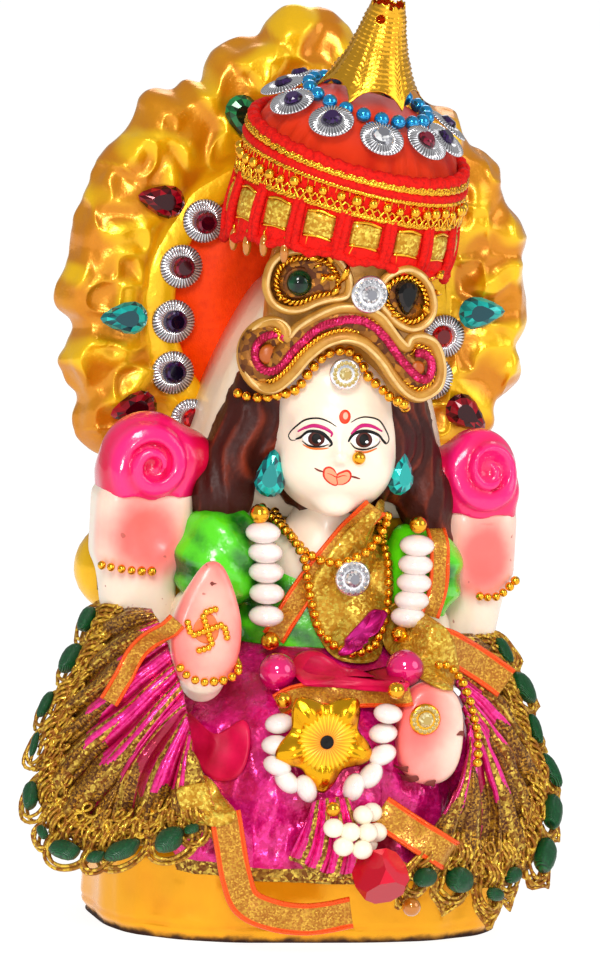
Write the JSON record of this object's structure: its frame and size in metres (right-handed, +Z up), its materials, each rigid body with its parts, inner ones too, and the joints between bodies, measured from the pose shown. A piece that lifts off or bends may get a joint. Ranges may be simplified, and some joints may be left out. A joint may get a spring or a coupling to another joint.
{
  "type": "lakshmi idol",
  "caption": "Seated four-armed goddess idol in painted plaster with a throne arch and base, dressed in foil cloth, lace, beads and a padded cap.",
  "frame": {"origin": "centre of the base's flat underside", "axes": "+Z up, the goddess looks along -Y, +X to the right as seen from the front"},
  "size_m": [0.1213, 0.0798, 0.1986],
  "materials": {
    "painted_plaster": "pearly yellow-orange enamel paint on plaster; cream skin, dark hair, pink lotuses",
    "red_satin": "padded red satin and velvet",
    "gold_lace": "crochet and braid of gold thread",
    "gold_foil": "shiny embossed gold foil and beads",
    "gold_cord": "twisted satin cord",
    "silver_discs": "pressed silvered discs",
    "blue_beads": "metallic blue plated beads",
    "teal_crystal": "faceted teal acrylic stone",
    "red_crystal": "faceted dark red acrylic stone",
    "dark_crystal": "smooth dark green stone",
    "clear_crystal": "clear rhinestone in a silver setting",
    "milk_bead": "milky pink-white beads",
    "pink_pearl": "hot pink pearls and cut bead",
    "magenta_foil": "magenta foil cloth with gold glitter edges",
    "gold_brocade": "gold brocade cloth",
    "gauze": "gold gauze with orange borders"
  },
  "bodies": {
    "root": {"painted_idol": "painted_plaster", "cap_dome": "red_satin", "cap_lace": "gold_lace", "lace_left": "gold_lace", "lace_right": "gold_lace", "cap_blue_beads": "blue_beads", "cap_mirrors": "silver_discs", "arch_mirrors": "silver_discs", "cap_finial": "gold_foil", "forehead_beads": "gold_foil", "nose_bead": "gold_foil", "neck_chain_short": "gold_foil", "neck_chain_long": "gold_foil", "bracelet_raised_left": "gold_foil", "bracelet_raised_right": "gold_foil", "bracelet_blessing": "gold_foil", "bracelet_giving": "gold_foil", "palm_mark": "gold_foil", "star_flower": "gold_foil", "arch_stone_upper_left": "teal_crystal", "arch_stone_side_left": "teal_crystal", "arch_stone_upper_right": "teal_crystal", "arch_stone_side_right": "teal_crystal", "ear_drop_left": "teal_crystal", "ear_drop_right": "teal_crystal", "arch_stone_shoulder_left": "red_crystal", "arch_stone_lower_left": "red_crystal", "arch_stone_lower_right": "red_crystal", "lap_cloth": "magenta_foil", "fan_left": "magenta_foil", "fan_right": "magenta_foil", "front_pleats": "magenta_foil", "chest_cloth": "gold_brocade", "crown_cord_upper": "gold_cord", "crown_cord_lower": "gold_cord", "crown_stone_left": "dark_crystal", "crown_stone_right": "dark_crystal", "crown_rhinestone": "clear_crystal", "forehead_stone": "clear_crystal", "chest_stone": "clear_crystal", "palm_stone": "clear_crystal", "chest_ribbon": "gauze", "lap_ribbon_right": "gauze", "hem_ribbon": "gauze", "garland_left": "milk_bead", "garland_right": "milk_bead", "garland_lower": "milk_bead", "bead_cluster": "milk_bead", "hem_pearl": "milk_bead", "pink_pearl_left": "pink_pearl", "pink_pearl_right": "pink_pearl", "cut_bead": "pink_pearl"}
  },
  "joints": []
}
